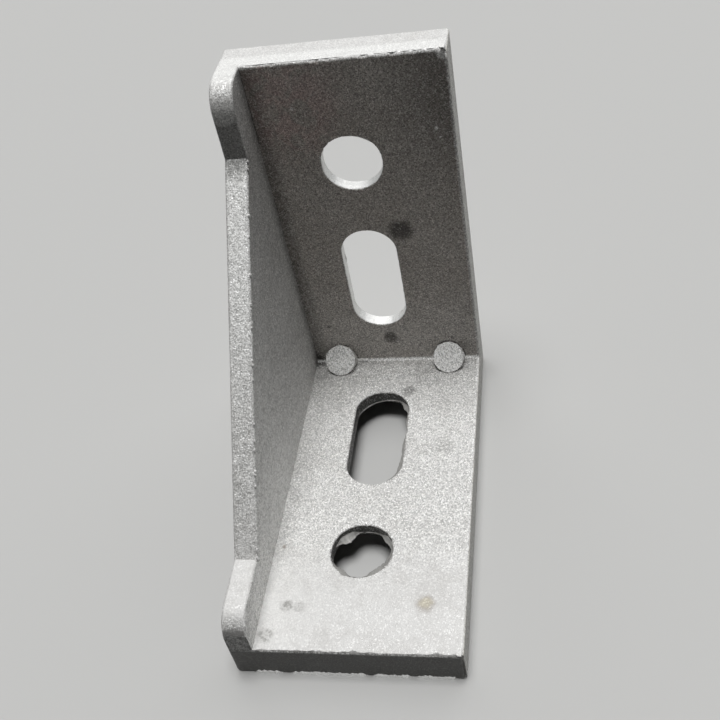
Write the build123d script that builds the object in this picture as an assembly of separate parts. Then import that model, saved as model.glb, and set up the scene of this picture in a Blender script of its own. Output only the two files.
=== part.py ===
from build123d import *
from math import radians, sqrt, tan
import os

# Corner bracket for slotted aluminium profile: two equal legs at a right angle
# and one gusset closing the -Y side, all one casting. Sizes in millimetres.
# The origin is on the seating plane, in the middle of the footprint. The lower
# leg lies along +X from the heel, the upright leg rises along +Z, and each has
# one row of bolt openings. Shapes are drawn from the heel and moved at the end.

# overall
leg_length = 58.0
bracket_width = 30.0
leg_thickness = 5.4
inner_corner_radius = 0.4
heel_radius = 1.0
open_edge_radius = 0.3
end_edge_radius = 0.2

# gusset with a raised ear at the end of each leg
gusset_root = 3.6
gusset_draft = 0.6
ear_height = 11.0
ear_length = 10.0
ear_corner_radius = 3.7
gusset_outer_radius = 0.4
gusset_inner_radius = 0.25

# bolt row: one slot and one round hole in each leg, for M8 screws
row_from_open_side = 14.5
hole_from_heel = 42.5
hole_radius = 4.2
slot_from_heel = 22.0
slot_width = 8.2
slot_length = 18.2
mouth_radius = 0.12

# hollow back: a rim all round and a thin web behind the bolt row
web_thickness = 2.0
rim_width = 2.6
pocket_draft = 2.0
pocket_corner_radius = 3.0
pocket_floor_radius = 0.8

# ejector pin pads in the inner corner, facing along the diagonal
pad_radius = 2.4
pad_stand_off = 2.6
pad_from_open_side = 4.7
pad_from_gusset = 4.3

# positions that follow from the sizes
open_side = bracket_width / 2
gusset_side = -bracket_width / 2
gusset_face = gusset_side + gusset_root
row_y = open_side - row_from_open_side
pocket_depth = leg_thickness - web_thickness
pocket_length = leg_length - leg_thickness - rim_width
pocket_width = bracket_width - gusset_root - rim_width
ear_start = leg_length - ear_length
reach = 3 * leg_length


def plate(corners, low, high):
    """A solid with the given (x, z) side profile between two Y positions."""
    outline = Plane.XZ * make_face(Polyline(corners, close=True))
    return Pos(0, low, 0) * extrude(outline, amount=high - low, dir=(0, 1, 0))


def other_leg(shape):
    """The same feature on the upright leg: X and Z swap across the diagonal."""
    return mirror(shape, about=Plane(origin=(0, 0, 0), z_dir=(1, 0, -1)))


def at(place, x, z):
    """True where this x and z from the heel meet the given point."""
    return abs(place.X - x) < 0.01 and abs(place.Z - z) < 0.01


def angle():
    """Both legs, with the inner corner rounded."""
    corners = [
        (0, 0),
        (leg_length, 0),
        (leg_length, leg_thickness),
        (leg_thickness, leg_thickness),
        (leg_thickness, leg_length),
        (0, leg_length),
    ]
    legs = plate(corners, gusset_side, open_side)
    corner = [
        edge
        for edge in legs.edges()
        if at(edge.center(), leg_thickness, leg_thickness)
    ]
    return fillet(corner, inner_corner_radius)


def gusset():
    """The side plate: straight between two raised ears, inner face drafted."""
    corners = [
        (0, 0),
        (leg_length, 0),
        (leg_length, ear_height),
        (ear_start, ear_height),
        (ear_height, ear_start),
        (ear_height, leg_length),
        (0, leg_length),
    ]
    side = plate(corners, gusset_side, gusset_face + 1)
    tips = [
        edge
        for edge in side.edges()
        if at(edge.center(), leg_length, ear_height)
        or at(edge.center(), ear_height, leg_length)
    ]
    side = fillet(tips, ear_corner_radius)
    # the inner face leans away from the bolt rows towards the free edge
    tilt = tan(radians(gusset_draft)) / sqrt(2)
    root = (leg_thickness, gusset_face, leg_thickness)
    inner = Plane(origin=root, x_dir=(1, 0, -1), z_dir=(tilt, 1, tilt))
    return side - extrude(inner * Rectangle(reach, reach), amount=reach)


def pads():
    """Two round pads left by the ejector pins, square to the diagonal."""
    corner = Plane(
        origin=(leg_thickness, 0, leg_thickness),
        x_dir=(0, 1, 0),
        z_dir=(1, 0, 1),
    )
    buried = leg_thickness / sqrt(2)
    pins = []
    for y in (open_side - pad_from_open_side, gusset_face + pad_from_gusset):
        disc = corner * Pos(y, 0, -buried) * Circle(pad_radius)
        pins.append(extrude(disc, amount=buried + pad_stand_off))
    return pins


def hollow_back():
    """The drafted recess in the seating face of the lower leg."""
    centre_x = leg_thickness + pocket_length / 2
    centre_y = gusset_face + pocket_width / 2
    outline = RectangleRounded(pocket_length, pocket_width, pocket_corner_radius)
    mouth = Pos(centre_x, centre_y, 0) * outline
    recess = extrude(mouth, amount=pocket_depth, taper=pocket_draft)
    floor = recess.faces().sort_by(Axis.Z)[-1]
    return fillet(floor.edges(), pocket_floor_radius)


def bolt_openings():
    """The round hole and the slot of the lower leg, cut through its web."""
    start = Plane(origin=(0, row_y, 0))
    hole = start * Pos(hole_from_heel, 0) * Circle(hole_radius)
    slot = start * Pos(slot_from_heel, 0) * SlotOverall(slot_length, slot_width)
    return [extrude(outline, amount=2 * leg_thickness) for outline in (hole, slot)]


def leg_end_edges(body):
    """The edges that run across each leg's end face, inside and outside."""
    found = []
    for face in body.faces():
        middle = face.center()
        if max(middle.X, middle.Z) < leg_length - 0.01:
            continue
        for edge in face.outer_wire().edges():
            low = min(edge.center().X, edge.center().Z)
            if low < 0.01 or abs(low - leg_thickness) < 0.01:
                found.append(edge)
    return found


def gusset_inner_edges(body):
    """The free edge of the gusset's inner face, from ear to ear."""
    faces = [f for f in body.faces() if f.normal_at().Y > 0.99]
    faces = [f for f in faces if f.center().Y < gusset_face]
    inner = max(faces, key=lambda face: face.area)
    free = []
    for edge in inner.edges():
        place = edge.center()
        if min(place.X, place.Z) > leg_thickness + inner_corner_radius:
            free.append(edge)
    return free


def opening_mouths(body):
    """The rims of the bolt openings on the inner faces of both legs."""
    found = []
    for edge in body.edges():
        place = edge.center()
        inside = abs(min(place.X, place.Z) - leg_thickness) < 0.01
        in_row = abs(place.Y - row_y) < slot_width
        far = max(place.X, place.Z)
        if inside and in_row and 2 * leg_thickness < far < leg_length - 1:
            found.append(edge)
    return found


def bracket():
    """The whole casting in the heel's frame, the roundings cut last."""
    body = angle() + gusset() + pads()
    for cut in [hollow_back()] + bolt_openings():
        body -= cut
        body -= other_leg(cut)

    heel = [edge for edge in body.edges() if at(edge.center(), 0, 0)]
    body = fillet(heel, heel_radius)
    outside = body.faces().sort_by(Axis.Y)[0]
    body = fillet(outside.outer_wire().edges(), gusset_outer_radius)
    open_face = body.faces().sort_by(Axis.Y)[-1]
    body = fillet(open_face.outer_wire().edges(), open_edge_radius)
    body = fillet(gusset_inner_edges(body), gusset_inner_radius)
    body = fillet(leg_end_edges(body), end_edge_radius)
    return fillet(opening_mouths(body), mouth_radius)


casting = Pos(-leg_length / 2, 0, 0) * bracket()
casting.label = "corner_bracket"

os.makedirs("parts", exist_ok=True)
export_step(casting, "parts/corner_bracket.step")
box = casting.bounding_box()
print("corner_bracket", box.min, box.max, "volume", round(casting.volume))
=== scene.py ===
import bmesh
import bpy
import math
import random
from mathutils import Matrix, Vector, noise


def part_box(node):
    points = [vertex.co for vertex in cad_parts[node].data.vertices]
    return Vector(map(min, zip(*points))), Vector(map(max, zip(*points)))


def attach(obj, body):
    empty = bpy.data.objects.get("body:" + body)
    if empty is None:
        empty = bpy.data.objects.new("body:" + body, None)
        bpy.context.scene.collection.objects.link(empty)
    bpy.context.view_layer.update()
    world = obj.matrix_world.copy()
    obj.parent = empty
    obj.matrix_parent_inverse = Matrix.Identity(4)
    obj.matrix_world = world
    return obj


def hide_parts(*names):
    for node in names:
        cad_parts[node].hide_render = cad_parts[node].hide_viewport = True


# Die-cast corner bracket on a pale table. Metres, +X along the lower leg,
# +Z up the other leg, gusset on the -Y side. The solid gets a skin with worn
# edges, and the loose flash and crumbs of the casting are small pieces on it.

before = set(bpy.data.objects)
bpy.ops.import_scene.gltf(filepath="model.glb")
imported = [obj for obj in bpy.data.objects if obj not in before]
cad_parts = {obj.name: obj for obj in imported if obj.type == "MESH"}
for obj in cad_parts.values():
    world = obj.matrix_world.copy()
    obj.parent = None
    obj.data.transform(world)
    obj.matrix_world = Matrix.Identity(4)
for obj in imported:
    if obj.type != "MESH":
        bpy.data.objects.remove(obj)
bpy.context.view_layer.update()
castLow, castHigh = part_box("corner_bracket")
mm = 0.001

# sizes of the casting that the looks are placed by
casting = {
    "legThickness": 5.4 * mm,
    "gussetRoot": 3.6 * mm,
    "gussetDraft": 0.6,
    "earHeight": 11.0 * mm,
    "earLength": 10.0 * mm,
    "rowFromOpenSide": 14.5 * mm,
    "holeFromHeel": 42.5 * mm,
    "holeRadius": 4.2 * mm,
    "slotFromHeel": 22.0 * mm,
    "slotWidth": 8.2 * mm,
    "slotLength": 18.2 * mm,
    "padRadius": 2.4 * mm,
    "padStandOff": 2.6 * mm,
    "padFromOpenSide": 4.7 * mm,
    "padFromGusset": 4.3 * mm,
}
uprightFace = castLow.x + casting["legThickness"]   # inner face of the upright leg
lowerFace = castLow.z + casting["legThickness"]     # inner face of the lower leg
gussetFace = castLow.y + casting["gussetRoot"]      # root of the gusset's inner face
rowY = castHigh.y - casting["rowFromOpenSide"]      # the line of bolt openings
padAcross = [
    castHigh.y - casting["padFromOpenSide"],
    gussetFace + casting["padFromGusset"],
]


class Wire:
    # one output socket; arithmetic on it adds Math nodes to its tree
    def __init__(self, shader, socket):
        self.shader = shader
        self.socket = socket

    def math(self, operation, first, second):
        return self.shader.node("ShaderNodeMath", {"operation": operation}, {0: first, 1: second})

    def __add__(self, other):
        return self.math("ADD", self, other)

    __radd__ = __add__

    def __sub__(self, other):
        return self.math("SUBTRACT", self, other)

    def __rsub__(self, other):
        return self.math("SUBTRACT", other, self)

    def __mul__(self, other):
        return self.math("MULTIPLY", self, other)

    __rmul__ = __mul__

    def least(self, other):
        return self.math("MINIMUM", self, other)

    def most(self, other):
        return self.math("MAXIMUM", self, other)

    def ramp(self, start, end):
        # 0 before start, 1 past end, eased between; falls instead where start > end
        low, high, first, last = (start, end, 0, 1) if start < end else (end, start, 1, 0)
        return self.shader.node("ShaderNodeMapRange", {"interpolation_type": "SMOOTHSTEP"}, {
            "Value": self, "From Min": low, "From Max": high, "To Min": first, "To Max": last})


class Shader:
    # builds one node tree, left to right
    def __init__(self, tree):
        self.tree = tree
        self.tree.nodes.clear()
        self.count = 0

    def node(self, kind, settings=None, inputs=None, output=0):
        made = self.tree.nodes.new(kind)
        made.location = (220 * (self.count % 12), -260 * (self.count // 12))
        self.count += 1
        for key, value in (settings or {}).items():
            setattr(made, key, value)
        for key, value in (inputs or {}).items():
            if isinstance(value, Wire):
                self.tree.links.new(value.socket, made.inputs[key])
            else:
                made.inputs[key].default_value = value
        return Wire(self, made.outputs[output]) if len(made.outputs) else made

    def place(self):
        return self.node("ShaderNodeTexCoord", output="Object")

    def split(self, vector):
        parts = self.node("ShaderNodeSeparateXYZ", inputs={0: vector}).socket.node
        return [Wire(self, socket) for socket in parts.outputs]

    def vector(self, operation, first, second):
        output = 1 if operation in ("DISTANCE", "DOT_PRODUCT") else 0
        return self.node("ShaderNodeVectorMath", {"operation": operation}, {
            0: first, 1: second}, output)

    def grain(self, vector, size, detail=2.0, roughness=0.5, distortion=0.0, output=0):
        # noise with features about one size across, 0 to 1
        return self.node("ShaderNodeTexNoise", {}, {
            "Vector": vector, "Scale": 1 / size, "Detail": detail,
            "Roughness": roughness, "Distortion": distortion}, output)

    def cells(self, vector, size, output="Distance"):
        return self.node("ShaderNodeTexVoronoi", {}, {"Vector": vector, "Scale": 1 / size}, output)

    def mix(self, factor, first, second):
        return self.node("ShaderNodeMix", {"data_type": "RGBA"}, {
            "Factor": factor, 6: first, 7: second}, 2)

    def near(self, vector, point, reach):
        # 1 at a point, 0 past its reach
        return self.vector("DISTANCE", vector, tuple(point)).ramp(reach, reach * 0.3)


def newSurface(name):
    material = bpy.data.materials.new(name)
    material.use_nodes = True
    return material, Shader(material.node_tree)


def principled(s, inputs):
    shader = s.node("ShaderNodeBsdfPrincipled", {}, inputs)
    s.node("ShaderNodeOutputMaterial", {}, {"Surface": shader})


def addPiece(name, mesh, materials):
    mesh.materials.clear()
    for material in materials:
        mesh.materials.append(material)
    piece = bpy.data.objects.new(name, mesh)
    bpy.context.scene.collection.objects.link(piece)
    return piece


# shot-blasted aluminium: tones first, then the scale of its textures
castFinish = {
    "base": (0.76, 0.755, 0.74, 1),
    "dull": (0.68, 0.672, 0.655, 1),
    "shade": (0.36, 0.355, 0.34, 1),       # darker tone: flow marks, pits and smudges, and painted shade on the faces that look along the leg and on the gusset's sloping edge
    "tarnish": (0.25, 0.205, 0.165, 1),    # brown tone: real stains on the lower leg, and a brown tint with painted shade on the upright leg's inner face
    "tarnishShare": 0.64,
    "blush": (0.30, 0.17, 0.14, 1),        # redder part of that tint and painted shade, by the ear
    # near black tone: real soot smudges, and painted shade in the lower openings, the corner, round
    # the pads and on faces that look along the leg
    "soot": (0.035, 0.032, 0.028, 1),
    # light tone: scratches, bare metal and bright spots, and painted highlights and painted light
    "bright": (0.90, 0.90, 0.88, 1),
    "cream": (0.58, 0.54, 0.43, 1),
    "pale": (0.93, 0.90, 0.80, 1),         # painted light on the side face along both open edges
    "metallic": 0.06,
    "specular": 0.3,
    "roughness": 0.54,
    "grainSize": 0.20 * mm,
    "speckSize": 0.15 * mm,                # single specks of the blasting
    "speckShare": 0.78,                    # how far they stand out
    "dimpleSize": 0.34 * mm,
    "pebbleSize": 0.8 * mm,
    "patchSize": 2.2 * mm,
    "cloudSize": 7 * mm,
    "shakeSize": 0.9 * mm,                 # size of the waves in the outlines of spots and knocks
    "shake": 0.8 * mm,                     # and how far they wander
    "glintSize": 0.15 * mm,
    "grainHeight": 0.045 * mm,
    "stripHeight": 0.10 * mm,              # coarser skin on the gusset's sloping edge
    "rimWidth": 0.22 * mm,
    "wallShare": 0.96,                     # painted shade, near black, on the walls of the lower openings
}

# spots on the inner faces: place in mm from the box's lowest corner, radius in mm, tone, share
spots = {
    "upright": [   # across, up
        (20.7, 30.9, 1.95, "soot", 0.85),
        (16.4, 10.2, 1.25, "soot", 0.78),
        (6.9, 12.8, 0.32, "soot", 0.8),
        (26.1, 9.7, 0.36, "soot", 0.8),
        (26.9, 13.3, 0.18, "soot", 0.8),
        (27.7, 46.9, 0.30, "bright", 0.9),
        (28.0, 45.6, 0.20, "bright", 0.9),
        (8.9, 51.5, 0.30, "bright", 0.5),
        (9.0, 50.7, 0.14, "bright", 0.6),
    ],
    "lower": [     # across, along
        (24.8, 50.5, 1.35, "tarnish", 0.55),
        (24.8, 50.4, 0.95, "cream", 0.85),
        (6.6, 51.2, 0.9, "shade", 1.0),
        (8.2, 51.4, 0.9, "shade", 0.5),
        (4.5, 55.6, 1.1, "shade", 0.9),
        (19.3, 12.6, 1.2, "soot", 0.5),
        (25.6, 24.0, 1.6, "shade", 0.5),
        (4.6, 41.9, 0.38, "tarnish", 0.75),
        (8.5, 37.5, 0.3, "shade", 0.5),
        (19.0, 46.0, 0.3, "shade", 0.5),
        (21.5, 53.6, 0.35, "shade", 0.4),
        (29.0, 57.9, 0.6, "shade", 0.9),
    ],
    "gusset": [    # up, along
        (7.9, 50.3, 0.25, "soot", 0.6),
    ],
}

# scratches from one end to the other, in mm from the box's lowest corner
scratches = [
    {"start": (19.0, 34.5), "end": (17.2, 34.2), "width": 0.12, "share": 0.7},
    {"start": (23.2, 24.9), "end": (19.2, 17.7), "width": 0.09, "share": 0.45},
    {"start": (16.0, 21.0), "end": (14.2, 13.0), "width": 0.08, "share": 0.3},
    {"start": (11.0, 45.0), "end": (9.0, 39.0), "width": 0.08, "share": 0.3},
]


def spotCentre(face, first, second):
    if face == "upright":
        return (uprightFace, castLow.y + first * mm, castLow.z + second * mm)
    if face == "lower":
        return (castLow.x + second * mm, castLow.y + first * mm, lowerFace)
    return (castLow.x + second * mm, gussetFace, castLow.z + first * mm)


class CastPoint:
    # where a point lies on the casting, and the textures that several layers share
    def __init__(self, s, look):
        self.p = s.place()
        self.x, self.y, self.z = s.split(self.p)
        self.offUpright = self.x - uprightFace
        self.offGusset = self.y - gussetFace
        self.offLower = self.z - lowerFace
        self.toEnd, self.toOpen = castHigh.x - self.x, castHigh.y - self.y
        self.toTop = castHigh.z - self.z
        self.fine = s.grain(self.p, look["grainSize"], 1.0, 0.5)
        self.pebble = s.grain(self.p, look["pebbleSize"], 2.0, 0.55)
        self.patch = s.grain(self.p, look["patchSize"], 2.0, 0.6, 0.8)
        self.cloud = s.grain(self.p, look["cloudSize"], 3.0, 0.55, 0.4)
        shake = (look["shake"],) * 3
        stray = s.vector("SUBTRACT", s.grain(self.p, look["shakeSize"], output="Color"), (0.5,) * 3)
        self.shaken = s.vector("ADD", self.p, s.vector("MULTIPLY", stray, shake))
        nx, ny, nz = s.split(s.node("ShaderNodeNewGeometry", output="Normal"))
        self.findFaces(nx, ny, nz)
        self.findWalls(nx, nz)

        # the blasting is coarse near the corner and smoothest at the end of the lower leg
        smoothEnd = self.facesZ * self.toEnd.ramp(22 * mm, 8 * mm)
        smoothEnd = smoothEnd.most(self.facesZ * self.toTop.ramp(1 * mm, 0.5 * mm) * 0.85)
        self.coarse = 1 - 0.8 * smoothEnd

        # flat facets left by single grains of shot, one chance for each grain: shinier, and painted
        # bright as glints
        chance = s.split(s.cells(self.p, look["glintSize"], "Color"))[0]
        self.glint = chance.ramp(0.84, 0.94) * (1 - 0.65 * self.onUpright)
        self.glint = self.glint * (1 - 0.85 * self.paintedShadeFaces)

    def findFaces(self, nx, ny, nz):
        self.facesX, self.facesY, self.facesZ = (part.ramp(0.5, 0.9) for part in (nx, ny, nz))
        self.facesUp45 = nx.ramp(0.5, 0.65) * nz.ramp(0.5, 0.65)
        onUpright = self.facesX * self.offUpright.ramp(0.25 * mm, 0.02 * mm)
        self.onUpright = onUpright * self.offLower.ramp(-0.2 * mm, 0.5 * mm)
        onLower = self.facesZ * self.offLower.ramp(0.25 * mm, 0.02 * mm)
        self.onLower = onLower * self.offUpright.ramp(-0.2 * mm, 0.3 * mm)
        self.onGusset = self.facesY * self.offGusset.ramp(0.3 * mm, 0)
        self.onStrip = self.facesUp45 * self.offGusset.ramp(0.3 * mm, 0)
        self.onLegEnd = self.facesX * self.toEnd.ramp(1 * mm, 0.5 * mm)
        onEar = self.facesX * self.toTop.ramp(12 * mm, 11 * mm)
        onEar = onEar * self.offGusset.ramp(0, -0.3 * mm)
        # the faces of the leg end and the upper ear, which get painted shade
        self.paintedShadeFaces = self.onLegEnd.most(onEar)

    def findWalls(self, nx, nz):
        # rough walls in the lower leg's openings and hollow, which get painted shade, and smooth
        # cored ones in the upright's, which get painted light
        inside = self.offLower.ramp(-0.05 * mm, -0.25 * mm) * self.offUpright.ramp(2 * mm, 3 * mm)
        inside = inside * self.toEnd.ramp(3 * mm, 4 * mm) * (nz * nz).ramp(0.16, 0.04)
        inside = inside * self.offGusset.ramp(2 * mm, 2.6 * mm)
        self.inLowerWall = inside * self.toOpen.ramp(2 * mm, 2.6 * mm)
        inside = self.offUpright.ramp(-0.1 * mm, -0.25 * mm)
        inside = inside * self.offUpright.ramp(-2.2 * mm, -2.05 * mm) * (nx * nx).ramp(0.36, 0.09)
        offRow = (self.y - rowY) * (self.y - rowY)
        inside = inside * offRow.ramp((5.4 * mm) ** 2, (4.8 * mm) ** 2)
        inside = inside * self.offLower.ramp(4 * mm, 5 * mm)
        self.inUpperWall = inside * self.toTop.ramp(8 * mm, 9 * mm)


def blastedSkin(s, at, look):
    # slow clouds, small patches, then the speckle of the blasting
    colour = s.mix((0.5 * at.cloud + 0.5 * at.patch).ramp(0.36, 0.56), look["dull"], look["base"])
    nearHeel = at.facesZ * at.offUpright.ramp(14 * mm, 4 * mm)
    share = (0.14 + 0.27 * at.patch + 0.3 * nearHeel) * at.coarse
    colour = s.mix(at.fine.ramp(0.60, 0.36) * share, colour, look["shade"])
    pits = at.pebble.ramp(0.50, 0.36) * at.fine.ramp(0.62, 0.4)
    # the gusset's sloping edge gets painted light at the top and painted shade towards the bottom,
    # darkest in its pits
    stripLightToShade = at.z.ramp(castLow.z + 46 * mm, castLow.z + 12 * mm)
    share = at.onStrip * (0.08 + 0.76 * stripLightToShade)
    colour = s.mix(share * pits.most(0.22), colour, look["shade"])
    share = at.onStrip * (1 - stripLightToShade)
    return s.mix(share * at.pebble.ramp(0.28, 0.46), colour, look["bright"])


def coldFlow(s, at, look, colour):
    # metal that ran cold in the inner corner of the lower leg, in streaks round the pads
    swirl = s.grain(s.vector("MULTIPLY", at.p, (1.6, 0.7, 1)), 2.6 * mm, 3.0, 0.6, 1.8)
    corner = at.offUpright.ramp(8.5 * mm, 1.5 * mm)
    besideGusset = at.offGusset.ramp(9 * mm, 1 * mm) * at.offUpright.ramp(13 * mm, 2 * mm)
    flow = at.onLower * corner.most(besideGusset) * swirl.ramp(0.40, 0.62)
    return s.mix(flow * 0.5, colour, look["shade"])


def paintedShadeAndLight(s, at, look, colour):
    # brown tint and painted shade on the upright leg's inner face, redder high up beside the ear
    shadeFilm = at.onUpright * look["tarnishShare"] * (0.72 + 0.56 * at.cloud)
    shadeFilm = shadeFilm * (0.8 + 0.2 * at.offLower.ramp(4 * mm, 22 * mm))
    redder = s.near(at.p, (uprightFace, gussetFace + 4 * mm, castHigh.z - 6 * mm), 11 * mm)
    brownShade = s.mix(redder * at.patch.ramp(0.3, 0.6), look["tarnish"], look["blush"])
    colour = s.mix(shadeFilm.least(1), colour, brownShade)

    # painted shade, near black, on the walls of the lower openings and of the hollow below
    wallShade = at.inLowerWall * (0.55 + 0.5 * at.fine).least(1)
    colour = s.mix(wallShade * look["wallShare"], colour, look["soot"])

    # painted shade on the faces of the upper ear and the lower end that look along the leg, near
    # black below the ear's curve
    colour = s.mix(at.paintedShadeFaces * (0.35 + 0.3 * at.cloud), colour, look["shade"])
    belowCurve = (at.toTop - 4.5 * mm + (at.pebble - 0.5) * (1.5 * mm)).ramp(0, 0.8 * mm)
    colour = s.mix(at.paintedShadeFaces * belowCurve * 0.55, colour, look["soot"])

    # the painted shade is darkest at the top of the open side; the side face itself is painted
    # light, pale
    topOpenShade = at.onUpright * at.toTop.ramp(24 * mm, 6 * mm) * at.y.ramp(rowY + 3 * mm, castHigh.y)
    colour = s.mix(topOpenShade * 0.5, colour, look["soot"])
    paintedLightSide = at.facesY * at.toOpen.ramp(0.4 * mm, 0.1 * mm)
    return s.mix(paintedLightSide * 0.85, colour, look["pale"])


def spotsAndSmudges(s, at, look, colour):
    # ragged at their rims
    crumbly = s.grain(at.p, 0.5 * mm, 2.0, 0.6).ramp(0.44, 0.56)
    for face, rows in spots.items():
        for first, second, radius, tone, share in rows:
            reach = s.vector("DISTANCE", at.shaken, spotCentre(face, first, second))
            mask = reach.ramp(radius * 1.25 * mm, radius * 0.45 * mm)
            mask = mask * (0.5 + 0.95 * at.fine).least(1) * share
            if tone == "shade":
                mask = mask * (0.4 + 0.6 * crumbly)
            colour = s.mix(mask, colour, look[tone])
    return colour


def openingRims(s, at, look, colour):
    # chipped and darkened rims of the lower openings
    slotMiddle = castLow.x + casting["slotFromHeel"]
    along = (at.x - slotMiddle).most(slotMiddle - at.x)
    straight = (casting["slotLength"] - casting["slotWidth"]) / 2
    fromSlot = s.node("ShaderNodeCombineXYZ", {}, {0: (along - straight).most(0), 1: at.y - rowY})
    slotOut = s.vector("DISTANCE", fromSlot, (0, 0, 0)) - casting["slotWidth"] / 2
    holeMiddle = (castLow.x + casting["holeFromHeel"], rowY, 0)
    flat = s.vector("MULTIPLY", at.p, (1, 1, 0))
    holeOut = s.vector("DISTANCE", flat, holeMiddle) - casting["holeRadius"]
    nearRim = at.onLower * slotOut.least(holeOut).ramp(0.34 * mm, 0.12 * mm)
    colour = s.mix(nearRim * at.fine.ramp(0.52, 0.42) * 0.75, colour, look["shade"])
    return s.mix(nearRim * at.fine.ramp(0.50, 0.60) * 0.8, colour, look["bright"])


def cornerShade(s, at, look, colour):
    # painted shade where the gusset and both legs meet
    crevice = s.near(at.shaken, (uprightFace, gussetFace, lowerFace), 2.4 * mm)
    colour = s.mix(crevice * 0.8, colour, look["soot"])
    line = (at.offGusset.most(0) + at.offUpright.most(0)).ramp(2.6 * mm, 0.1 * mm)
    line = line * at.offLower.ramp(0, 2 * mm) * (0.4 + 0.8 * at.patch) * at.facesX.most(at.facesY)
    return s.mix((line * 0.6).least(0.8), colour, look["soot"])


def padShadowAndTops(s, at, look, colour):
    # painted shadow in a ring round the pads, and the pads' speckled tops painted lighter, partly
    # bare metal and partly painted light
    diagonal = math.sqrt(0.5)
    for across in padAcross:
        axis = s.vector("DISTANCE", s.vector("MULTIPLY", at.p, (0, 1, 0)), (0, across, 0))
        turned = (at.x - at.z) * diagonal - (uprightFace - lowerFace) * diagonal
        away = (axis * axis + turned * turned) * (1 / casting["padRadius"] ** 2)
        ring = away.ramp(1.0, 1.03) * away.ramp(1.30, 1.08)
        ring = ring * at.onUpright.most(at.onLower * (across - at.y).ramp(-0.6 * mm, 1.2 * mm))
        colour = s.mix(ring * at.patch.ramp(0.35, 0.5) * 0.8, colour, look["soot"])
        onPad = at.facesUp45 * away.ramp(1.02, 0.98) * at.offGusset.ramp(1 * mm, 1.2 * mm)
        colour = s.mix(onPad * (0.35 + 0.65 * at.fine.ramp(0.40, 0.58)), colour, look["bright"])
    return colour


def gussetMarks(s, at, look, colour):
    # the gusset's inner face is painted light towards the end of the lower leg, mottled darker, and
    # scratched
    litTowardsEnd = at.onGusset * at.x.ramp(castLow.x + 18 * mm, castLow.x + 34 * mm)
    colour = s.mix(litTowardsEnd * 0.8, colour, look["bright"])
    colour = s.mix(at.onGusset * at.pebble.ramp(0.48, 0.62) * 0.24, colour, look["shade"])
    for scratch in scratches:
        start, end = (
            Vector((castLow.x + along * mm, 0, castLow.z + up * mm))
            for along, up in (scratch["start"], scratch["end"]))
        length = (end - start).length
        along = (end - start).normalized()
        side = Vector((-along.z, 0, along.x))
        off = s.vector("SUBTRACT", at.p, tuple(start))
        way = s.vector("DOT_PRODUCT", off, tuple(along))
        gap = s.vector("DOT_PRODUCT", off, tuple(side))
        line = (gap * gap).ramp((scratch["width"] * mm) ** 2, 0)
        line = line * way.ramp(-0.3 * mm, 0.4 * mm) * way.ramp(length, length * 0.7)
        share = at.onGusset * (0.4 + at.fine) * scratch["share"]
        colour = s.mix(line * share, colour, look["bright"])
    return colour


def bareRimsAndHighlights(s, at, look, colour):
    # bare metal and painted highlight along the rims of the leg ends and the open side, at the
    # knocked corner and in the inner corner
    wide = look["rimWidth"]
    ragged = (at.fine - 0.5) * (0.5 * mm) + (at.pebble - 0.5) * (0.6 * mm)
    rimTop = (at.toTop + ragged).ramp(wide * 2.4, wide * 1.2) * at.offUpright.ramp(-3 * mm, -2 * mm)
    knocked = s.vector("DISTANCE", at.shaken, (uprightFace, castHigh.y, castHigh.z))
    rimTop = rimTop.most(knocked.ramp(1.9 * mm, 1.3 * mm))
    rimEnd = (at.toEnd + ragged).ramp(wide * 1.5, wide * 0.5)
    rimEnd = rimEnd * (at.offLower + ragged * 0.5).ramp(-0.55 * mm, -0.35 * mm)
    fillet = at.offUpright.ramp(0.5 * mm, 0.2 * mm) * at.offLower.ramp(0.5 * mm, 0.2 * mm)
    fillet = fillet * at.offUpright.ramp(-0.1 * mm, 0) * at.offLower.ramp(-0.1 * mm, 0)
    rimSide = (at.toOpen + ragged * 0.6).ramp(0.48 * mm, 0.2 * mm)
    bareAndHighlight = rimTop.most(rimEnd).most(fillet * at.patch.ramp(0.25, 0.45)).most(rimSide * 0.8)
    return s.mix(bareAndHighlight * 0.7, colour, look["bright"])


def glintsAndSpecks(s, at, look, colour):
    # painted glints: bright colour on the shot's facets, then single specks lighter and darker than
    # the metal round them
    colour = s.mix(at.glint * 0.45 * at.coarse, colour, look["bright"])
    speck = s.split(s.cells(at.p, look["speckSize"], "Color"))[0] - 0.5
    strength = at.coarse * (1 - 0.1 * at.facesY) * (1 - 0.6 * at.onLegEnd)
    strength = strength * (1 + 0.3 * at.onUpright)
    colour = s.node("ShaderNodeVectorMath", {"operation": "SCALE"}, {
        0: colour, "Scale": 1 + look["speckShare"] * strength * speck})
    # the cored walls of the upper openings are smoother and shinier, and painted light in a
    # brighter colour
    return s.mix(at.inUpperWall * (0.5 + 0.5 * at.patch), colour, look["bright"])


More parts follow.
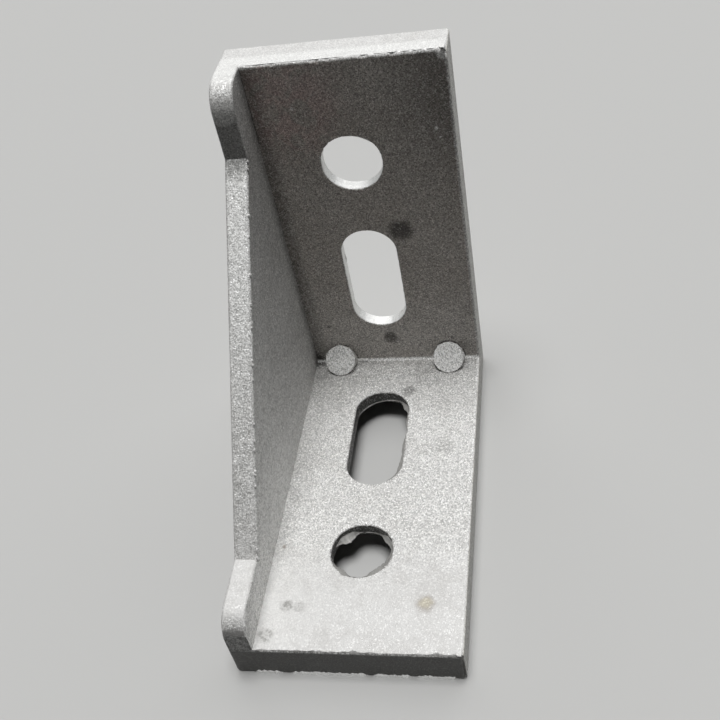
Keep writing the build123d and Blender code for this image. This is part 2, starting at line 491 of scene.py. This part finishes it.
def castMetal(name, look):
    material, s = newSurface(name)
    at = CastPoint(s, look)
    colour = blastedSkin(s, at, look)
    for layer in (
            coldFlow, paintedShadeAndLight, spotsAndSmudges, openingRims, cornerShade,
            padShadowAndTops, gussetMarks, bareRimsAndHighlights, glintsAndSpecks):
        colour = layer(s, at, look, colour)
    metallic = look["metallic"] + 0.2 * at.glint + 0.55 * at.inUpperWall
    rough = look["roughness"] + 0.22 * (at.fine - 0.5) + 0.12 * (at.cloud - 0.5)
    rough = rough - 0.12 * at.glint - 0.14 * at.inUpperWall
    dimples = s.cells(at.p, look["dimpleSize"])
    height = at.fine * 0.6 + dimples * 0.35 + at.pebble * 0.4
    stripShare = look["stripHeight"] / look["grainHeight"]
    height = height + at.onStrip * (at.pebble + at.fine * 0.5) * stripShare
    bump = s.node("ShaderNodeBump", {}, {
        "Strength": 1.0, "Distance": look["grainHeight"], "Height": height})
    principled(s, {
        "Base Color": colour, "Metallic": metallic, "Roughness": rough, "Normal": bump,
        "Specular IOR Level": look["specular"]})
    return material


# torn flash metal: smoother than the blasted skin, bright where it broke; the body's and streaks'
# dark tones are painted shade inside the openings
flashFinish = {
    "body": {"tone": (0.40, 0.395, 0.38, 1), "metallic": 0.2, "roughness": 0.45},
    "torn": {"tone": (0.95, 0.95, 0.94, 1), "metallic": 0.9, "roughness": 0.24},
    "streak": (0.26, 0.255, 0.24, 1),
    "specular": 0.35,
    "grainSize": 0.22 * mm,
    "cloudSize": 1.3 * mm,
    "height": 0.02 * mm,
}


def flashMetal(name, look, part):
    material, s = newSurface(name)
    p = s.place()
    fine = s.grain(p, look["grainSize"], 2.0, 0.6)
    cloud = s.grain(p, look["cloudSize"], 2.0, 0.55, 0.6)
    metal = look[part]
    streaks = (0.6 * cloud + 0.4 * fine).ramp(0.58, 0.38) * (0.6 - 0.45 * metal["metallic"])
    bump = s.node("ShaderNodeBump", {}, {
        "Strength": 1.0, "Distance": look["height"], "Height": fine + cloud})
    principled(s, {
        "Base Color": s.mix(streaks, metal["tone"], look["streak"]),
        "Metallic": metal["metallic"], "Roughness": metal["roughness"] + 0.2 * (fine - 0.5),
        "Normal": bump, "Specular IOR Level": look["specular"]})
    return material


# how far the edges have worn, and how ragged the trimmed leg ends are
skinWear = {
    "edgeStep": 0.42 * mm,       # points along the worn edges lie no further apart
    "halvings": 9,               # rounds of halving that reach that step
    "fineSize": 0.35 * mm,       # small nicks
    "fineDepth": 0.10 * mm,
    "waveSize": 2.4 * mm,        # slow waves along the edges
    "waveDepth": 0.12 * mm,
    "mouthReach": 0.5 * mm,      # notches in the rims of the openings
    "mouthDepth": 0.5 * mm,
    "endSink": 0.20 * mm,        # the lower end face stands back behind its burr
    "endReach": 0.5 * mm,        # the inner rims of the leg ends are rougher
    "endSize": 0.7 * mm,
    "endDepth": 1.3 * mm,
    "cornerReach": 1.6 * mm,     # the open corners at both leg ends are knocked round
    "cornerDepth": 1.1 * mm,
    "flatWidth": 0.5 * mm,       # a flat face counts when its area is over this times its rim
    "refillArea": 8 * mm * mm,   # larger flat faces are closed again from rim to rim
    "smoothAngle": 50,
    "weld": 0.002 * mm,          # points closer than this are one, before the wear
    "weldWorn": 0.001 * mm,      # and after it
    "strayFaces": 20,            # an island of fewer faces is dropped
}


def flatRegions(shape, width):
    # faces that lie in one plane are walked together; broad ones are kept with their normal
    samePlane = 0.99999
    regions = []
    seen = set()
    for first in shape.faces:
        if first in seen:
            continue
        seen.add(first)
        region, queue, rim = [first], [first], 0
        while queue:
            face = queue.pop()
            for edge in face.edges:
                level = [
                    near for near in edge.link_faces
                    if near.normal.dot(first.normal) > samePlane]
                if len(level) < 2:
                    rim += edge.calc_length()
                for near in level:
                    if near not in seen:
                        seen.add(near)
                        region.append(near)
                        queue.append(near)
        if sum(face.calc_area() for face in region) > width * rim:
            regions.append((region, first.normal.copy()))
    return regions


def cutRoundings(shape, layer, wear):
    # a face bends outwards when the longest of its bent edges does
    slight, sharp = math.radians(2), math.radians(20)
    bent = shape.faces.layers.int.new("bent")
    for face in shape.faces:
        edges = [edge for edge in face.edges if edge.calc_face_angle(0) > slight]
        if edges and not face[layer]:
            face[bent] = max(edges, key=lambda edge: edge.calc_length()).is_convex
    # long edges of those faces, and long sharp outer edges, are halved round by round
    for halving in range(wear["halvings"]):
        long = [
            edge for edge in shape.edges if edge.calc_length() > wear["edgeStep"]
            and (any(face[bent] for face in edge.link_faces)
                 or edge.is_convex and edge.calc_face_angle(0) > sharp)]
        halves = bmesh.ops.subdivide_edges(shape, edges=long, cuts=1)["geom_inner"]
        middles = [part for part in halves if isinstance(part, bmesh.types.BMVert)]
        bmesh.ops.connect_verts(shape, verts=middles)


def refill(shape, region, layer, number, normal):
    # a broad flat face is closed again from rim to rim once its rims have worn
    edges = dict.fromkeys(edge for face in region for edge in face.edges)
    rim = [edge for edge in edges if sum(near[layer] == number for near in edge.link_faces) == 1]
    bmesh.ops.delete(shape, geom=region, context="FACES")
    filled = bmesh.ops.triangle_fill(shape, edges=rim, use_beauty=True, normal=normal)
    for face in filled["geom"]:
        if isinstance(face, bmesh.types.BMFace):
            face[layer] = number
            face.normal_update()
            if face.normal.dot(normal) < 0:
                face.normal_flip()


def dropStrays(shape, fewest):
    # two faces back to back on the same three points are no surface
    shape.verts.index_update()
    alike = {}
    for face in shape.faces:
        alike.setdefault(frozenset(vertex.index for vertex in face.verts), []).append(face)
    twins = [face for faces in alike.values() if len(faces) > 1 for face in faces]
    bmesh.ops.delete(shape, geom=twins, context="FACES")
    # nor is an island of a few faces beside the solid
    seen, strays = set(), []
    for first in shape.faces:
        if first in seen:
            continue
        seen.add(first)
        island = [first]
        for face in island:
            for edge in face.edges:
                for near in edge.link_faces:
                    if near not in seen:
                        seen.add(near)
                        island.append(near)
        if len(island) < fewest:
            strays += island
    bmesh.ops.delete(shape, geom=strays, context="FACES")


def wearWay(vertex, layer, planes):
    # wear makes an edge rounder: along each axis a point moves by what its normal
    # lacks there, and it never leaves a flat face that it belongs to
    leastPart, leastTurn = 0.06, 0.05
    way = Vector(
        math.copysign(1, part) - part if abs(part) > leastPart else 0
        for part in vertex.normal)
    kept = []
    for face in vertex.link_faces:
        if face[layer]:
            across = planes[face[layer] - 1].copy()
            for plane in kept:
                across -= across.dot(plane) * plane
            if across.length > leastTurn:
                kept.append(across.normalized())
    for plane in kept:
        way -= way.dot(plane) * plane
    return way


def cornerNormals(shape, layer, planes, limit):
    # flat faces keep their own normal; worn edges turn smoothly between them
    least = math.cos(math.radians(limit))
    normals = []
    for face in shape.faces:
        for vertex in face.verts:
            if face[layer]:
                normals.append(planes[face[layer] - 1])
                continue
            beside = [planes[near[layer] - 1] for near in vertex.link_faces if near[layer]]
            beside = [plane for plane in beside if plane.dot(face.normal) > least]
            if beside:
                normals.append(max(beside, key=lambda plane: plane.dot(face.normal)))
                continue
            level = [near for near in vertex.link_faces if near.normal.dot(face.normal) > least]
            blend = sum((near.normal * near.calc_area() for near in level), Vector())
            normals.append(blend.normalized() if blend.length > 0 else face.normal.copy())
    return normals


def eased(value, start, end):
    share = min(max((value - start) / (end - start), 0), 1)
    return share * share * (3 - 2 * share)


def nearMouth(fromHeel, across, reach):
    # 1 within 0.2 mm of the rim of a bolt opening, 0 past its reach
    straight = (casting["slotLength"] - casting["slotWidth"]) / 2
    along = abs(fromHeel - casting["slotFromHeel"])
    slotGap = math.hypot(max(along - straight, 0), across - rowY) - casting["slotWidth"] / 2
    holeGap = math.hypot(fromHeel - casting["holeFromHeel"], across - rowY) - casting["holeRadius"]
    return eased(min(abs(slotGap), abs(holeGap)), reach, 0.2 * mm)


def wearDepth(place, wear):
    offUpright, offLower = place.x - uprightFace, place.z - lowerFace
    fine = 0.5 + 0.5 * noise.noise(place / wear["fineSize"])
    wave = 0.5 + 0.5 * noise.noise(place / wear["waveSize"] + Vector((7, 3, 5)))
    depth = wear["fineDepth"] * fine + wear["waveDepth"] * wave
    # the inner corner is hardly worn
    inCorner = max(offUpright, offLower) < 1 * mm
    if inCorner and place.x > uprightFace - 0.1 * mm and place.z > lowerFace - 0.1 * mm:
        return depth * 0.2
    # the inner rims of the leg ends, and the rims of the openings
    upperRim = math.hypot(offUpright, place.z - castHigh.z)
    lowerRim = math.hypot(place.x - castHigh.x, offLower)
    ragged = (0.5 + 0.5 * noise.noise(place / wear["endSize"] + Vector((2, 9, 4)))) ** 3
    onRim = eased(min(upperRim, lowerRim), wear["endReach"], 0)
    onLegs = eased(place.y, gussetFace, gussetFace + 0.5 * mm)
    depth += onRim * wear["endDepth"] * ragged * onLegs
    for off, fromHeel in ((offLower, place.x - castLow.x), (offUpright, place.z - castLow.z)):
        if abs(off) < 0.2 * mm:
            onMouth = nearMouth(fromHeel, place.y, wear["mouthReach"])
            depth += onMouth * wear["mouthDepth"] * ragged
    # the open corners, and the outer edge that runs up the end of the lower leg
    upperCorner = (place - Vector((uprightFace, castHigh.y, castHigh.z))).length
    lowerCorner = (place - Vector((castHigh.x, castHigh.y, lowerFace))).length
    uprightEdge = math.hypot(place.x - castHigh.x, place.y - castHigh.y) + 0.5 * mm
    knock = min(upperCorner, lowerCorner, uprightEdge)
    return depth + eased(knock, wear["cornerReach"], 0) * wear["cornerDepth"]


def castSkin(wear, material):
    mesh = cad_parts["corner_bracket"].data.copy()
    mesh.name = "castSkin"
    shape = bmesh.new()
    shape.from_mesh(mesh)
    # the solid's triangles are joined to whole faces, and the broad flat ones are numbered
    layer = shape.faces.layers.int.new("flat")
    bmesh.ops.remove_doubles(shape, verts=shape.verts, dist=wear["weld"])
    bmesh.ops.join_triangles(
        shape, faces=shape.faces, angle_face_threshold=math.radians(0.5),
        angle_shape_threshold=math.radians(180))
    shape.normal_update()
    regions = flatRegions(shape, wear["flatWidth"])
    planes = [normal for region, normal in regions]
    for number, (region, normal) in enumerate(regions, 1):
        for face in region:
            face[layer] = number
    # each point of the edges moves in by its wear, and none leaves the casting's box
    cutRoundings(shape, layer, wear)
    moves = [
        (vertex, wearWay(vertex, layer, planes) * wearDepth(vertex.co, wear))
        for vertex in shape.verts]
    for vertex, move in moves:
        worn = vertex.co - move
        worn.x -= wear["endSink"] * eased(vertex.co.x, castHigh.x - 0.3 * mm, castHigh.x)
        vertex.co = [min(max(worn[i], castLow[i]), castHigh[i]) for i in range(3)]
    # the broad flats are closed again, and the mesh is cleaned
    for number, plane in enumerate(planes, 1):
        region = [face for face in shape.faces if face[layer] == number]
        if sum(face.calc_area() for face in region) > wear["refillArea"]:
            refill(shape, region, layer, number, plane)
    bmesh.ops.remove_doubles(shape, verts=shape.verts, dist=wear["weldWorn"])
    bmesh.ops.triangulate(shape, faces=shape.faces, quad_method="BEAUTY", ngon_method="BEAUTY")
    dropStrays(shape, wear["strayFaces"])
    bmesh.ops.recalc_face_normals(shape, faces=shape.faces)
    shape.normal_update()
    normals = cornerNormals(shape, layer, planes, wear["smoothAngle"])
    print("open edges:", sum(len(edge.link_faces) != 2 for edge in shape.edges))
    shape.to_mesh(mesh)
    shape.free()
    mesh.shade_smooth()
    mesh.normals_split_custom_set(normals)
    skin = addPiece("casting_skin", mesh, [material])
    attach(skin, "root")
    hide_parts("corner_bracket")
    print("skin:", len(mesh.vertices), "points,", len(mesh.polygons), "triangles")


# flash left in the bolt openings, in mm from reach down. Reach is measured in from
# the wall at the torn edge; each tongue is (along, across, spread, extra reach) from
# the opening's middle, along the leg and towards the open side
holeFlash = {
    "leg": "lower",
    "fromHeel": casting["holeFromHeel"],
    "radius": casting["holeRadius"],
    "straight": 0,
    "reach": 0.09,
    "tongues": [
        (-3.2, -2.8, 2.3, 0.95), (-2.4, 3.4, 2.3, 0.50), (-4.2, 0.4, 1.5, -0.02),
        (1.2, 4.0, 3.0, 0.60), (3.3, 2.4, 2.4, 0.72), (-0.4, -4.2, 2.0, -0.20),
        (3.2, -2.7, 2.2, 0.50), (4.2, 0.0, 1.2, -0.05),
    ],
    "teeth": 0.13,
    "toothSize": 0.5,
    "rim": 0.11,               # width of the bright torn edge
    "root": 0.60,              # how far above its torn edge the flash leaves the wall
    "edge": 0.95,              # depth of the torn edge below the leg's face
    "slope": 0.68,             # deeper towards the heel by this, shallower towards the end
    "lean": 0.10,              # deeper towards the gusset by this
    "thickness": 0.12,
    "steps": 260,              # places round the opening
}
slotFlash = {
    "leg": "lower",
    "fromHeel": casting["slotFromHeel"],
    "radius": casting["slotWidth"] / 2,
    "straight": (casting["slotLength"] - casting["slotWidth"]) / 2,
    "reach": 0.02,
    "tongues": [
        (-6.8, 3.7, 2.2, 0.60), (-9.0, 0.6, 2.4, 0.16), (-8.0, -2.6, 2.6, 0.12),
        (-3.6, 4.1, 2.6, 0.34), (1.8, 4.1, 3.6, 0.42), (5.6, 4.0, 3.0, 0.62),
        (8.0, 2.6, 1.8, 0.30),
    ],
    "teeth": 0.07,
    "toothSize": 0.45,
    "rim": 0.12,
    "root": 0.30,
    "edge": 1.20,
    "slope": 0.60,
    "lean": 0.50,
    "thickness": 0.10,
    "steps": 420,
}
upperHoleFlash = {
    "leg": "upright",
    "fromHeel": casting["holeFromHeel"],
    "radius": casting["holeRadius"],
    "straight": 0,
    "reach": -0.08,
    "tongues": [(3.4, -2.2, 1.6, 0.18), (2.0, 3.8, 1.4, 0.20), (3.8, 1.8, 1.2, 0.18)],
    "teeth": 0.07,
    "toothSize": 0.4,
    "rim": 0.12,
    "root": 0.3,
    "edge": 1.85,
    "slope": 0.0,
    "lean": 0.0,
    "thickness": 0.08,
    "steps": 260,
}
upperSlotFlash = {
    **upperHoleFlash,
    "fromHeel": casting["slotFromHeel"],
    "radius": casting["slotWidth"] / 2,
    "straight": (casting["slotLength"] - casting["slotWidth"]) / 2,
    "tongues": [(8.0, 2.8, 1.6, 0.26), (8.6, -1.6, 1.6, 0.18), (3.0, -4.1, 1.6, 0.16)],
    "steps": 420,
}
buried = 0.15 * mm             # flash and burr start this far inside the solid


def rimPoint(share, radius, straight):
    # a point on the opening's wall and the way in from it, walking round once
    length = 2 * math.pi * radius + 4 * straight
    walked = share * length
    for middle, first in ((straight, -math.pi / 2), (-straight, math.pi / 2)):
        if walked < math.pi * radius:
            turn = first + walked / radius
            out = Vector((math.cos(turn), math.sin(turn)))
            return Vector((middle, 0)) + out * radius, -out
        walked -= math.pi * radius
        if walked < 2 * straight:
            side = 1 if middle > 0 else -1
            return Vector((side * (straight - walked), side * radius)), Vector((0, -side))
        walked -= 2 * straight
    return Vector((straight, -radius)), Vector((0, 1))


def flashReach(spot, look):
    reach = look["reach"] * mm
    for along, across, spread, extra in look["tongues"]:
        gap = (spot - Vector((along, across)) * mm).length / (spread * mm)
        reach += extra * mm * eased(gap, 1, 0)
    tooth = Vector((spot.x, spot.y, 0)) / (look["toothSize"] * mm)
    ragged = noise.noise(tooth) + 0.6 * noise.noise(tooth * 2.3 + Vector((5, 1, 8)))
    return max(reach + look["teeth"] * mm * ragged, 0)


def joinRings(shape, first, second):
    # one face for each side of the section, between two neighbouring rings of points
    faces = []
    for i in range(len(first)):
        j = (i + 1) % len(first)
        faces.append(shape.faces.new((first[i], second[i], second[j], first[j])))
    return faces


def flashSection(spot, inward, look):
    # the lip's outline at one place on the rim, as steps in from the wall and down
    reach = flashReach(spot, look)
    edge = (look["edge"] + look["slope"] * inward.x) * mm
    edge += look["lean"] * inward.y * mm
    if reach < 0.01 * mm:
        return [(-buried, edge)] * 8   # no flash: all eight points inside the wall
    # a long lip leaves the wall higher up than a short one
    rise = look["root"] * mm * min(max(reach / (0.55 * mm), 0.08), 1)
    root = max(edge - rise, 0.08 * mm)
    crest = max(reach - look["rim"] * mm, 0)
    sag = 0.06 * mm * noise.noise(Vector((spot.x, spot.y, 3 * mm)) / (0.9 * mm))
    thick = look["thickness"] * mm
    return [
        (-buried, root), (0.0, root + 0.05 * mm),
        (crest * 0.4, root + (edge - root) * 0.6),
        (crest, edge + sag - 0.04 * mm), (reach, edge + sag),
        (reach - 0.02 * mm, edge + sag + thick * 0.6),
        (reach * 0.5, edge + thick), (-buried, edge + thick * 1.6)]


def openingFlash(name, look, materials):
    # a thin lip round the opening: it curves out of the wall to a torn edge
    tornSides = (3, 4)
    mesh = bpy.data.meshes.new(name)
    shape = bmesh.new()
    loops = []
    for step in range(look["steps"]):
        spot, inward = rimPoint(step / look["steps"], look["radius"], look["straight"])
        ring = []
        for inside, depth in flashSection(spot, inward, look):
            point = spot + inward * inside
            across = rowY + point.y
            if look["leg"] == "lower":
                place = (castLow.x + look["fromHeel"] + point.x, across, lowerFace - depth)
            else:
                place = (uprightFace - depth, across, castLow.z + look["fromHeel"] + point.x)
            ring.append(shape.verts.new(place))
        loops.append(ring)
    for first, second in zip(loops, loops[1:] + loops[:1]):
        for side, face in enumerate(joinRings(shape, first, second)):
            face.material_index = 1 if side in tornSides else 0
            face.smooth = True
    bmesh.ops.dissolve_degenerate(shape, dist=0.001 * mm, edges=shape.edges)
    bmesh.ops.recalc_face_normals(shape, faces=shape.faces)
    shape.to_mesh(mesh)
    shape.free()
    piece = addPiece(name, mesh, materials)
    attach(piece, "root")


# the burr left along the seating edge of the lower leg's end face, in mm
seatBurr = {
    "start": 2.6,              # along Y, from the gusset's outer face
    "end": 28.6,
    "depth": 0.28,
    "height": 0.62,
    "gapSize": 2.0,            # length of its breaks
    "gapLevel": 0.22,          # a higher level leaves more of the edge bare
    "toothSize": 0.35,
    "step": 0.09,
}


def edgeBurr(name, look, materials):
    # it reaches the end of the casting's box and leans back into the end face
    mesh = bpy.data.meshes.new(name)
    shape = bmesh.new()
    loops = []
    step = look["step"] * mm
    deep = look["depth"] * mm
    for i in range(int((look["end"] - look["start"]) * mm / step) + 1):
        y = castLow.y + look["start"] * mm + i * step
        wave = 0.5 + 0.5 * noise.noise(Vector((y, 1 * mm, 0)) / (look["gapSize"] * mm))
        tooth = noise.noise(Vector((y, 3 * mm, 2 * mm)) / (look["toothSize"] * mm))
        tooth = min(0.65 + 0.9 * tooth, 1)
        share = eased(wave, look["gapLevel"], look["gapLevel"] + 0.2)
        tall = look["height"] * mm * (0.05 + share * (0.4 + 0.6 * tooth))
        back = deep * (1 - share * (0.55 + 0.45 * tooth))
        section = [
            (deep + buried, 0), (deep + buried, tall * 1.05), (deep * 0.85, tall),
            (back, tall * 0.15), (back, 0)]
        loops.append([
            shape.verts.new((castHigh.x - away, y, castLow.z + up)) for away, up in section])
    for first, second in zip(loops, loops[1:]):
        joinRings(shape, first, second)
    shape.faces.new(loops[0])
    shape.faces.new(reversed(loops[-1]))
    bmesh.ops.recalc_face_normals(shape, faces=shape.faces)
    shape.to_mesh(mesh)
    shape.free()
    piece = addPiece(name, mesh, materials)
    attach(piece, "root")


# crumbs of metal round the ejector pads, along the gusset's free edge and in the corner, in mm
crumbs = {
    "padCount": 34,
    "padSize": (0.06, 0.17),
    "edgeCount": 34,
    "edgeSize": (0.08, 0.26),
    "cornerCount": 16,
    "cornerSize": (0.05, 0.13),
    "sunk": 0.6,               # depth of a crumb's middle under the surface, in its own radii
    "padRim": 0.985,           # the ring of crumbs lies just inside the pad's rim
    "blobFromGusset": 7.6,     # a run of metal on the corner line
    "blobLength": 0.95,
    "blobHeight": 0.36,
    "lumps": ((-0.35, 0.8), (0.1, 1.0), (0.6, 0.6)),   # place along that run, size
    "seed": 11,
}


def addCrumb(shape, centre, size, stretch):
    made = bmesh.ops.create_icosphere(shape, subdivisions=2, radius=1.0)
    for vertex in made["verts"]:
        bulge = 1 + 0.35 * noise.noise(vertex.co * 1.7 + centre / (0.1 * mm))
        vertex.co = centre + Vector(vertex.co[i] * stretch[i] for i in range(3)) * size * bulge
        vertex.co = [min(max(vertex.co[i], castLow[i]), castHigh[i]) for i in range(3)]


def castCrumbs(look, materials):
    chance = random.Random(look["seed"])
    mesh = bpy.data.meshes.new("castCrumbs")
    shape = bmesh.new()
    diagonal = Vector((1, 0, 1)).normalized()
    sideways = Vector((1, 0, -1)).normalized()
    # round the pads
    for across in padAcross:
        face = Vector((uprightFace, across, lowerFace)) + diagonal * casting["padStandOff"]
        for i in range(look["padCount"]):
            turn = chance.uniform(0, 2 * math.pi)
            size = chance.uniform(*look["padSize"]) * mm
            out = Vector((0, math.cos(turn), 0)) + sideways * math.sin(turn)
            rim = face + out * casting["padRadius"] * look["padRim"]
            addCrumb(shape, rim - diagonal * size * look["sunk"], size, (1, 1.3, 1))
    # along the gusset's free edge, most of them near its lower end
    low, high = casting["earHeight"], castHigh.x - castLow.x - casting["earLength"]
    lean = math.tan(math.radians(casting["gussetDraft"])) / math.sqrt(2)
    for i in range(look["edgeCount"]):
        share = chance.random() ** 1.5
        x = low + (high - low) * (1 - share)
        z = low + (high - low) * share
        y = gussetFace - lean * (x + z - 2 * casting["legThickness"])
        size = chance.uniform(*look["edgeSize"]) * mm
        centre = Vector((castLow.x + x, y, castLow.z + z)) - diagonal * size * look["sunk"]
        addCrumb(shape, centre, size, (1, 0.8, 1.4))
    # in the corner beside the gusset
    for i in range(look["cornerCount"]):
        size = chance.uniform(*look["cornerSize"]) * mm
        y = gussetFace + chance.uniform(0.2, 2.2) * mm
        x = uprightFace + abs(chance.gauss(0.1, 0.4)) * mm
        addCrumb(shape, Vector((x, y, lowerFace + size * 0.4)), size, (1.2, 1.5, 1))
    # the run of metal beside the pad
    middle = gussetFace + look["blobFromGusset"] * mm
    for shift, scale in look["lumps"]:
        y = middle + shift * look["blobLength"] * mm
        centre = Vector((uprightFace + 0.12 * mm, y, lowerFace + 0.10 * mm))
        addCrumb(shape, centre, look["blobHeight"] * mm * scale, (1.2, 2.2, 0.9))
    shape.to_mesh(mesh)
    shape.free()
    mesh.shade_smooth()
    piece = addPiece("cast_crumbs", mesh, materials)
    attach(piece, "root")


# table, lamps and room
studio = {
    "tableSize": 6.0,
    "tableGrain": 1.5 * mm,
    "tableColour": (0.58, 0.58, 0.57, 1),
    "tableDim": (0.04, 0.04, 0.04, 1),     # what the table throws back on the casting
    "roomColour": (0.64, 0.65, 0.66, 1),
    "roomDim": (0.02, 0.02, 0.02, 1),
    "lampDistance": 0.5,
    # name, degrees from straight up, compass of the lean from +X towards +Y, strength, softness
    "lamps": [
        ("overheadSoftbox", 1, 190, 2.25, 28),
        ("rearSoftbox", 44, 174, 0.95, 74),
    ],
}


def paleForCamera(s, pale, dim):
    # the pale tone shows to the camera and in the metal; the dim one lights the casting
    path = s.node("ShaderNodeLightPath").socket.node.outputs
    toCamera, toGloss, toGlass = (
        Wire(s, path[name])
        for name in ("Is Camera Ray", "Is Glossy Ray", "Is Transmission Ray"))
    return s.mix(toCamera.most(toGloss).most(toGlass), dim, pale)


def buildTable(look):
    material, s = newSurface("paleTable")
    speck = s.grain(s.place(), look["tableGrain"], 2.0)
    principled(s, {
        "Base Color": paleForCamera(s, look["tableColour"], look["tableDim"]),
        "Roughness": 0.75 + 0.1 * speck, "Specular IOR Level": 0.2})
    reach = look["tableSize"] / 2
    mesh = bpy.data.meshes.new("table")
    corners = [(x * reach, y * reach, castLow.z) for x, y in ((-1, -1), (1, -1), (1, 1), (-1, 1))]
    mesh.from_pydata(corners, [], [(0, 1, 2, 3)])
    table = addPiece("table", mesh, [material])


def buildLight(look):
    room = bpy.data.worlds.new("softRoom")
    room.use_nodes = True
    bpy.context.scene.world = room
    s = Shader(room.node_tree)
    glow = s.node("ShaderNodeBackground", {}, {
        "Color": paleForCamera(s, look["roomColour"], look["roomDim"]), "Strength": 1.0})
    s.node("ShaderNodeOutputWorld", {}, {"Surface": glow})
    for name, tilt, turn, strength, softness in look["lamps"]:
        lamp = bpy.data.lights.new(name, "SUN")
        lamp.energy = strength
        lamp.angle = math.radians(softness)
        tilt, turn = math.radians(tilt), math.radians(turn)
        towards = Vector((
            math.sin(tilt) * math.cos(turn), math.sin(tilt) * math.sin(turn), math.cos(tilt)))
        holder = bpy.data.objects.new(name, lamp)
        holder.rotation_euler = towards.to_track_quat("Z", "Y").to_euler()
        holder.location = towards * look["lampDistance"]
        bpy.context.scene.collection.objects.link(holder)
    print("light:", len(look["lamps"]), "lamps")


camera = {
    "aim": (0.0001, 0.0023, 0.0282),
    "distance": 0.12655,
    "azimuth": 15.80,      # from +X towards +Y
    "elevation": 42.79,
    "roll": -12.60,
    "lens": 49.22,
    "sensor": 36.0,
}


def buildCamera(look):
    lens = bpy.data.cameras.new("shotCamera")
    lens.lens = look["lens"]
    lens.sensor_width = look["sensor"]
    lens.clip_start = 0.005
    lens.clip_end = 20
    azimuth, elevation = math.radians(look["azimuth"]), math.radians(look["elevation"])
    back = Vector((
        math.cos(elevation) * math.cos(azimuth),
        math.cos(elevation) * math.sin(azimuth),
        math.sin(elevation)))
    right = Vector((-math.sin(azimuth), math.cos(azimuth), 0))
    right = Matrix.Rotation(math.radians(look["roll"]), 3, back) @ right
    turned = Matrix((right, back.cross(right), back)).transposed()
    shot = bpy.data.objects.new("shotCamera", lens)
    stand = Matrix.Translation(Vector(look["aim"]) + back * look["distance"])
    shot.matrix_world = stand @ turned.to_4x4()
    bpy.context.scene.collection.objects.link(shot)
    bpy.context.scene.camera = shot
    print("camera:", round(look["distance"] / mm), "mm away")


buildCamera(camera)
castMaterial = castMetal("castAluminium", castFinish)
flashMaterials = [
    flashMetal("flashSkin", flashFinish, "body"),
    flashMetal("flashTorn", flashFinish, "torn"),
]
castSkin(skinWear, castMaterial)
openingFlash("hole_flash", holeFlash, flashMaterials)
openingFlash("slot_flash", slotFlash, flashMaterials)
openingFlash("upper_hole_flash", upperHoleFlash, flashMaterials)
openingFlash("upper_slot_flash", upperSlotFlash, flashMaterials)
edgeBurr("seat_burr", seatBurr, flashMaterials[1:])
castCrumbs(crumbs, [castMaterial])
print("flash, burrs and crumbs made")
buildTable(studio)
buildLight(studio)
bpy.context.scene.view_settings.view_transform = "Standard"

bpy.context.view_layer.update()
